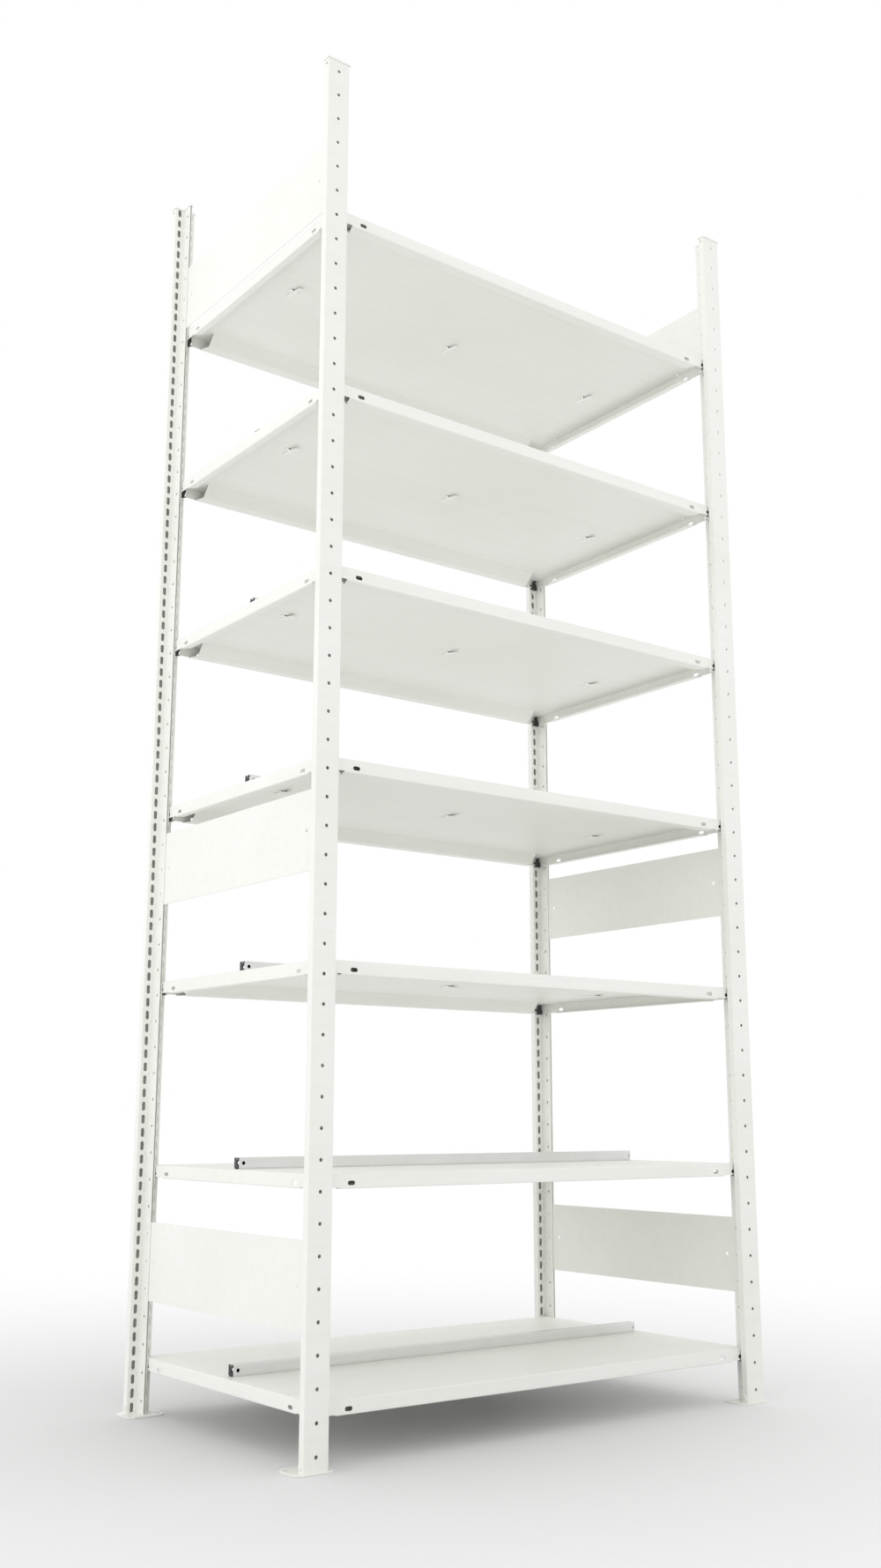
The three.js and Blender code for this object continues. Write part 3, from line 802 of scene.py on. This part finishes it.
shelf = start("plane", (2 * LONG, 2 * DEEP, 1))
with shaping(shelf):
    for side in (-1, 1):
        for point, normal in (
            ((side * (LONG - RELIEF), 0, 0), (1, 0, 0)),
            ((0, side * (DEEP - RELIEF), 0), (0, 1, 0)),
        ):
            bpy.ops.mesh.select_all(action="SELECT")
            bisect(point, normal)
    pick("faces", lambda p, n: abs(p.x) > LONG - RELIEF and abs(p.y) > DEEP - RELIEF)
    bpy.ops.mesh.delete(type="FACE")

    pick("edges", lambda p, n: near(abs(p.y), DEEP))
    extrude(z=-PLAIN_DROP)
    for side in (-1, 1):
        pick("faces", lambda p, n: near(abs(p.y), DEEP))
        bisect((side * BEAM_END, 0, 0), (1, 0, 0))
    pick("edges", lambda p, n: near(p.z, -PLAIN_DROP) and abs(p.x) < BEAM_END)
    extrude(z=PLAIN_DROP - DROP)
    extrude()
    stretch(x=LEG_END / BEAM_END, y=LEG_BACK / DEEP)
    extrude(z=DROP - SHEET)
    stretch(y=LEG_TOP / LEG_BACK)

    pick("edges", lambda p, n: near(abs(p.x), LONG))
    extrude(z=-PLAIN_DROP)
    for side in (-1, 1):
        pick("faces", lambda p, n: near(abs(p.x), LONG))
        bisect((0, side * RETURN_END, 0), (0, 1, 0))
    pick("edges", lambda p, n: near(p.z, -PLAIN_DROP) and near(abs(p.x), LONG)
         and abs(p.y) < RETURN_END)
    extrude(z=PLAIN_DROP - DROP)
    extrude()
    stretch(x=(LONG - RETURN_WIDE) / LONG, y=RETURN_BACK / RETURN_END)

    def is_bend(p, n):
        """Edges where the sheet is folded: along X in flanges, along Y at the ends."""
        along_x = abs(n.x) > 0.9 and (
            near(abs(p.y), DEEP) and near(p.z, 0)
            or near(p.z, -DROP) and (near(abs(p.y), DEEP) or near(abs(p.y), LEG_BACK))
        )
        along_y = abs(n.y) > 0.9 and near(abs(p.x), LONG) and (
            near(p.z, 0) or near(p.z, -DROP)
        )
        return along_x or along_y

    pick("edges", is_bend)
    bevel(BEND, 3)
    bpy.ops.mesh.select_all(action="SELECT")
    bpy.ops.mesh.remove_doubles(threshold=1e-6)
    bpy.ops.mesh.normals_make_consistent(inside=False)
deck_face = max(shelf.data.polygons, key=lambda f: f.area)
if deck_face.normal.z < 0:
    with shaping(shelf):
        bpy.ops.mesh.select_all(action="SELECT")
        bpy.ops.mesh.flip_normals()
modify(shelf, "SOLIDIFY", thickness=SHEET * MM, offset=-1, use_even_offset=True)
with shaping(shelf):
    pick("verts", lambda p, n: abs(abs(p.y) - LEG_TOP) < 3 and p.z > -3)
    stretch(z=0, about=(0, 0, -SHEET - LEG_GAP))
print("folded shelf:", len(shelf.data.polygons), "faces")

# %% [markdown]
# The press also punches the sheet: an oblong hole and a small round one near each end of
# every flange, a small hole in each corner of the deck, and three slots along the middle
# of the deck for the turn lugs of the divider rail. The holes are listed for one corner,
# each with the way it runs, its middle, its width and its length.

# %% Punch the shelf and place the seven copies
LONG_ROW, END_ROW = -15, -15.5
HOLES = (
    (SLOT_ALONG_Y_LYING, (432.7, DEEP, LONG_ROW), 7.4, 14.7),
    (DRILL_ALONG_Y, (481, DEEP, LONG_ROW), 7, 0),
    (SLOT_ALONG_X_LYING, (LONG, 230.8, END_ROW), 6.5, 14.5),
    (DRILL_ALONG_X, (LONG, 275.7, END_ROW), 6.6, 0),
    (DRILL_ALONG_Z, (492.5, 213, 0), 5, 0),
)
LUG_X, LUG_SLOT_WIDE, LUG_SLOT_LONG = (-400, 0, 400), 10.4, 23
LUG_SLOT_SHIFT = (-1.7, -1.2)
cutters = [
    drill((across * x, deep * y, z), width, THROUGH, turn, length, sides=22)
    for across in (-1, 1)
    for deep in (-1, 1)
    for turn, (x, y, z), width, length in HOLES
]
for x in LUG_X:
    middle = (x + LUG_SLOT_SHIFT[0], LUG_SLOT_SHIFT[1], 0)
    cutters.append(
        drill(middle, LUG_SLOT_WIDE, THROUGH, SLOT_ALONG_Z_IN_X, LUG_SLOT_LONG)
    )
cut(shelf, cutters)
for number, deck in DECKS.items():
    piece = copy_of(shelf, (0, 0, deck))
    finish(piece, f"shelf_sheet_{number}", powder_white, "steel_white",
           f"shelf_{number}_set", f"shelf_{number}")
bpy.data.objects.remove(shelf)
print("shelves done")

# %% [markdown]
# ## Divider rails
#
# A rail keeps the files of the front half apart from those of the back half. It is an
# aluminium extrusion, so its section is drawn as one outline and pulled along X, just as
# the press does it: a channel under a solid roof, a groove along the top, and a narrower
# foot that leaves a dark line between rail and deck. Near the ends round ports are cut
# through the walls, and a narrow slit takes the place of the one at the front right.

# %% Rails
RAIL_END, RAIL_HALF, RAIL_HIGH = 480, 8.5, 20
FOOT_HIGH, FOOT_HALF, CHANNEL_HALF, CHANNEL_TOP = 1.8, 7.7, 7, 14.8
GROOVE_HALF, GROOVE_DEEP = 2, 4
CAP_SHEET = 0.8
bar_end = RAIL_END - CAP_SHEET
half_section = [
    (GROOVE_HALF, RAIL_HIGH - GROOVE_DEEP), (GROOVE_HALF, RAIL_HIGH),
    (RAIL_HALF, RAIL_HIGH), (RAIL_HALF, FOOT_HIGH), (FOOT_HALF, FOOT_HIGH),
    (FOOT_HALF, 0), (CHANNEL_HALF, 0), (CHANNEL_HALF, CHANNEL_TOP),
]
section = half_section + [(-y, z) for y, z in reversed(half_section)]
rail = plate_of(section, "x", (-bar_end, bar_end))
PORT_X, PORT_Z, PORT_WIDE = 470, 10.3, 6.5
SLIT_X, SLIT_Z, SLIT_WIDE, SLIT_HIGH = 475.9, 9.5, 1.6, 6
WALL_CUT = 4
ports = [
    drill((x, y, PORT_Z), PORT_WIDE, WALL_CUT, DRILL_ALONG_Y, sides=24)
    for x, y in ((-PORT_X, -RAIL_HALF), (-PORT_X, RAIL_HALF), (PORT_X, RAIL_HALF))
]
slit = drill((SLIT_X, -RAIL_HALF, SLIT_Z), SLIT_WIDE, WALL_CUT, SLOT_ALONG_Y_UPRIGHT,
             SLIT_HIGH)
cut(rail, ports + [slit])
round_edges(rail, 0.3)
for number, deck in DECKS.items():
    piece = copy_of(rail, (0, 0, deck))
    finish(piece, f"rail_bar_{number}", rail_silver, "rail_aluminium",
           f"shelf_{number}_set", f"rail_{number}")
bpy.data.objects.remove(rail)
print("rails done")

# %% [markdown]
# An end cap closes each rail end. Its face lies inside the rail's outline, with the
# groove's square notch on top and a round notch at one edge, through which light falls
# from the port at the back. A low tongue carries a deep cup behind the front port, which
# is why that port looks black. Both ends take the same cap, so the right one is the left
# one turned half a round.

# %% End caps
FACE_INSET, FACE_LOW, FACE_HIGH = 0.6, 2.1, 19.5
NOTCH_WIDE, NOTCH_LONG = 9.6, 13
TONGUE, STEM = (24, 13, 2.6), (5, 6, 4)
CUP_WIDE, CUP_DEEP, CUP_FLOOR, CUP_WALL, CUP_Y = 7.4, 8.6, 0.6, 0.5, -2.6
face = start("cube", (CAP_SHEET, 2 * (RAIL_HALF - FACE_INSET), FACE_HIGH - FACE_LOW),
             (CAP_SHEET / 2 - RAIL_END, 0, (FACE_HIGH + FACE_LOW) / 2))
groove = start("cube", (THROUGH, 2 * GROOVE_HALF, 2 * GROOVE_DEEP),
               (-RAIL_END, 0, RAIL_HIGH))
notch = drill((-RAIL_END, -RAIL_HALF, PORT_Z), NOTCH_WIDE, THROUGH, SLOT_ALONG_X_LYING,
              NOTCH_LONG, sides=24)
cut(face, [groove, notch])
round_edges(face, 0.25, sharper_than=50)
tongue = start("cube", TONGUE, (13 - RAIL_END, 0, 3.4))
stem = start("cube", STEM, (-PORT_X, -2, 5.4))
for part in (tongue, stem):
    round_edges(part, 0.5)
cup = start("cylinder", (CUP_WIDE, CUP_WIDE, CUP_DEEP), (-PORT_X, CUP_Y, PORT_Z),
            DRILL_ALONG_Y, vertices=24)
with shaping(cup):
    pick("faces", lambda p, n: n.y < -0.9)
    bpy.ops.mesh.inset(thickness=CUP_WALL * MM)
    extrude(y=CUP_DEEP - CUP_FLOOR)
end_cap = fuse([face, tongue, stem, cup])
face_out(end_cap)
for number, deck in DECKS.items():
    for hand, side in (("left", 1), ("right", -1)):
        piece = copy_of(end_cap, (0, 0, deck), (side, side))
        finish(piece, f"rail_cap_{number}_{hand}", plastic_dark, "end_cap_plastic",
               f"shelf_{number}_set", f"rail_{number}")
bpy.data.objects.remove(end_cap)
print("end caps done")

# %% [markdown]
# ## Turn lugs
#
# Three white lugs hold each rail down. A lug's shank drops through a slot in the deck,
# and a turn of the lug brings its two arms across the slot from below. One arm lies flat
# on the deck, with a short spur beside the slot. The other is the handle: it slopes away
# from the deck, so that a finger gets behind it, and throws a soft shadow. The slot stays
# open on the handle's side and looks black from below.

# %% Lugs
LUG_TURN = 3
FLAT_TOP, FLAT_BOTTOM = -1.35, -2.7
FLAT = [
    (-4.6, 25.8), (-3.4, 26.8), (3.2, 26.8), (4.2, 25.4), (4.6, 6.8), (9.6, 5.6),
    (10.2, 0.8), (4.6, -0.6), (3, -3.4), (-2.8, -0.4), (-12, -6), (-14.2, -3.6),
    (-14, 4.4), (-4.6, 4.8),
]
HANDLE, HANDLE_MIDDLE, HANDLE_TIP = (10.4, 23, 2.4), (0.2, -13.6, -2.9), (-1.2, -4.4)
LUG_SHANK_WIDE, LUG_SHANK_LONG = 5.4, 15
flat = plate_of(FLAT, "z", (FLAT_BOTTOM, FLAT_TOP))
round_edges(flat, 0.4, sharper_than=50)
handle = start("cube", HANDLE, HANDLE_MIDDLE)
with shaping(handle):
    pick("verts", lambda p, n: p.y < HANDLE_MIDDLE[1])
    bpy.ops.transform.translate(value=(HANDLE_TIP[0] * MM, 0, HANDLE_TIP[1] * MM))
round_edges(handle, 0.7, 3)
shank = start("cylinder", (LUG_SHANK_WIDE, LUG_SHANK_WIDE, LUG_SHANK_LONG), (0, 0, 4),
              vertices=20)
round_edges(shank, 0.4)
lug = fuse([flat, handle, shank])
lug.rotation_euler = (0, 0, math.radians(LUG_TURN))
settle(lug)
for number, deck in DECKS.items():
    for place, x in zip(("left", "middle", "right"), LUG_X):
        piece = copy_of(lug, (x, 0, deck))
        finish(piece, f"rail_lug_{number}_{place}", plastic_white, "cap_plastic",
               f"shelf_{number}_set", f"rail_{number}")
bpy.data.objects.remove(lug)
print("lugs done")

# %% [markdown]
# ## Clips
#
# Each shelf hangs on four black clips. A clip has a plate between the post's lip and the
# shelf's flange, with a small ear at its inner side, a hook that goes through the lip's
# slot and grips behind it, a floor under the flange and a fin behind it. The fin leans
# away from the flange, so that the shelf finds its way down, and it narrows towards its
# top. It can be seen from below in the open corner of a shelf. Its outline is drawn flat
# and then tilted. The hook is a throat through the slot and a tail that hangs behind it.

# %% Clips
CLIP_X, CLIP_Y, CLIP_DROP = SLOT_X[0], 16.25, 14
FLOOR_TOP, FLOOR_BOTTOM = -8.3, -9.9
CLIP_PLATE, EAR = (9.8, 1.9, 20.2), (6, 1.5, 7.4)
THROAT, TAIL = (5.8, 5.5, 6), (6, 3, 14.3)
FLOOR_WIDE, FLOOR_DEEP, FLOOR_TAPER = 20.2, 5.2, 3.4
FIN_FOOT, FIN_SHEET, FIN_LEAN = 20.6, 2.1, 16.7
FIN = [
    (-22.6, 0), (-5.8, 0), (-5.8, 3), (-7.2, 7.8), (-11.5, 13.8), (-13.1, 16.3),
    (-11.4, 19), (-12.1, 21), (-19.4, 21), (-21.6, 17.6), (-22.8, 13), (-22.2, 6.5),
    (-20.4, 3),
]
fin = plate_of(FIN, "y", (-FIN_SHEET, 0))
fin.rotation_euler = (math.radians(-FIN_LEAN), 0, 0)
fin.location = (0, FIN_FOOT * MM, FLOOR_BOTTOM * MM)
settle(fin)
plate = start("cube", CLIP_PLATE, (CLIP_X, CLIP_Y, 0.2))
ear = start("cube", EAR, (-20.4, CLIP_Y, -1))
floor_bar = start("cube", (FLOOR_WIDE, FLOOR_DEEP, FLOOR_TOP - FLOOR_BOTTOM),
                  (-14.9, 17.9, (FLOOR_TOP + FLOOR_BOTTOM) / 2))
with shaping(floor_bar):
    pick("verts", lambda p, n: p.x < -20 and p.y < 18)
    bpy.ops.transform.translate(value=(FLOOR_TAPER * MM, 0, 0))
throat = start("cube", THROAT, (CLIP_X, 13.5, -5.3))
tail = start("cube", TAIL, (CLIP_X, 11.7, -9.35))
parts = [fin, plate, ear, floor_bar, throat, tail]
for part in parts:
    round_edges(part, 0.5, sharper_than=35)
clip = fuse(parts)
face_out(clip)
for number, deck in DECKS.items():
    for corner, mirror in CORNERS.items():
        piece = copy_of(clip, at_corner(corner, deck - CLIP_DROP), mirror)
        finish(piece, f"clip_hook_{number}_{corner}", nylon_black, "clip_plastic",
               "frame", f"clip_{number}_{corner}")
bpy.data.objects.remove(clip)
print("clips done")

# %% [markdown]
# ## Floor and light
#
# The room is a white studio. The floor keeps the bay's real soft shadow, and its paint
# adds painted shade on top: a darker grey near the bay, centred a little to the left
# where the bay's soft shadow falls, growing lighter outwards. Far out it turns pure
# white: a white is mixed in that only the camera, reflections and glass see, so the floor
# doesn't throw more light on the object. The floor lies a hair under the feet. The world
# is plain white, and one large lamp at the left makes the sides of the bay differ.

# %% Floor
FLOOR_SIDE, FLOOR_Z = 60000, -0.2
# Painted shade on the floor: its paint is darkest inside this radius round a middle a
# little left of the bay, where the bay's soft shadow falls, and turns white by the outer
# radius.
SHADE_PAINT_MIDDLE, SHADE_PAINT_RADIUS, WHITE_RADIUS = (-0.2, 0.1, 0), 0.3, 2.8
floor = start("plane", (FLOOR_SIDE, FLOOR_SIDE, 1), (0, 0, FLOOR_Z))
floor.name = "studio_floor"
with shaping(floor):
    bpy.ops.mesh.select_all(action="SELECT")
    bpy.ops.mesh.subdivide(number_cuts=6)
floor_paint, shader, spot = finish_named("studio floor with painted shade")
shader.inputs["Roughness"].default_value = 0.9
shader.inputs["Specular IOR Level"].default_value = 0.1
away = node(floor_paint, "VectorMath", {"operation": "DISTANCE"}, {
    0: spot, 1: SHADE_PAINT_MIDDLE,
})
shade_and_white_fade = node(floor_paint, "MapRange", sockets={
    "Value": away.outputs["Value"], "From Min": SHADE_PAINT_RADIUS, "From Max": WHITE_RADIUS,
})
# Painted shade: the floor's paint is #DEDEDE grey round the shade middle, where the bay's
# shadow falls, and #FAFAFA out at the white radius.
painted_shade_ramp = node(floor_paint, "ValToRGB", sockets={"Fac": shade_and_white_fade.outputs[0]})
painted_shade_ramp.color_ramp.elements[0].color = paint("#DEDEDE")
painted_shade_ramp.color_ramp.elements[1].color = paint("#FAFAFA")
floor_paint.node_tree.links.new(painted_shade_ramp.outputs[0], shader.inputs["Base Color"])
rays = node(floor_paint, "LightPath")
seen = node(floor_paint, "Math", {"operation": "ADD", "use_clamp": True}, {
    0: rays.outputs["Is Camera Ray"], 1: rays.outputs["Is Glossy Ray"],
})
seen = node(floor_paint, "Math", {"operation": "ADD", "use_clamp": True}, {
    0: seen.outputs[0], 1: rays.outputs["Is Transmission Ray"],
})
share = node(floor_paint, "Math", {"operation": "MULTIPLY"}, {
    0: seen.outputs[0], 1: shade_and_white_fade.outputs[0],
})
white = node(floor_paint, "Emission", sockets={"Color": (1, 1, 1, 1), "Strength": 1})
blend = node(floor_paint, "MixShader", sockets={
    0: share.outputs[0], 1: shader.outputs[0], 2: white.outputs[0],
})
ends = [n for n in floor_paint.node_tree.nodes if n.type == "OUTPUT_MATERIAL"]
floor_paint.node_tree.links.new(blend.outputs[0], ends[0].inputs["Surface"])
floor.data.materials.append(floor_paint)
floor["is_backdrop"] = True
print("floor done")

# %% World and lamps
world = bpy.data.worlds.new("white studio")
bpy.context.scene.world = world
world.use_nodes = True
world.node_tree.nodes.clear()
sky = node(world, "Background", sockets={"Color": (1, 1, 1, 1), "Strength": 1})
node(world, "OutputWorld", sockets={"Surface": sky.outputs[0]})


def soft_box(name, place, target, size, power):
    """A large square lamp that looks at a point, all in metres."""
    lamp = bpy.data.lights.new(name, "AREA")
    lamp.size, lamp.energy = size, power
    holder = bpy.data.objects.new(name, lamp)
    holder.location = place
    aim = Vector(target) - Vector(place)
    holder.rotation_euler = aim.to_track_quat("-Z", "Y").to_euler()
    bpy.context.scene.collection.objects.link(holder)


soft_box(
    "left soft box", place=(-9, 0.4, 2.2), target=(0, 0, 1.3), size=6, power=118,
)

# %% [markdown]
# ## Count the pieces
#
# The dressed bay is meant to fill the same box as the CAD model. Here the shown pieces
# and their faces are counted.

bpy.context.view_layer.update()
shown_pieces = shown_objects()
faces = sum(len(p.data.polygons) for p in shown_pieces)
print("pieces:", len(shown_pieces), "faces:", faces)
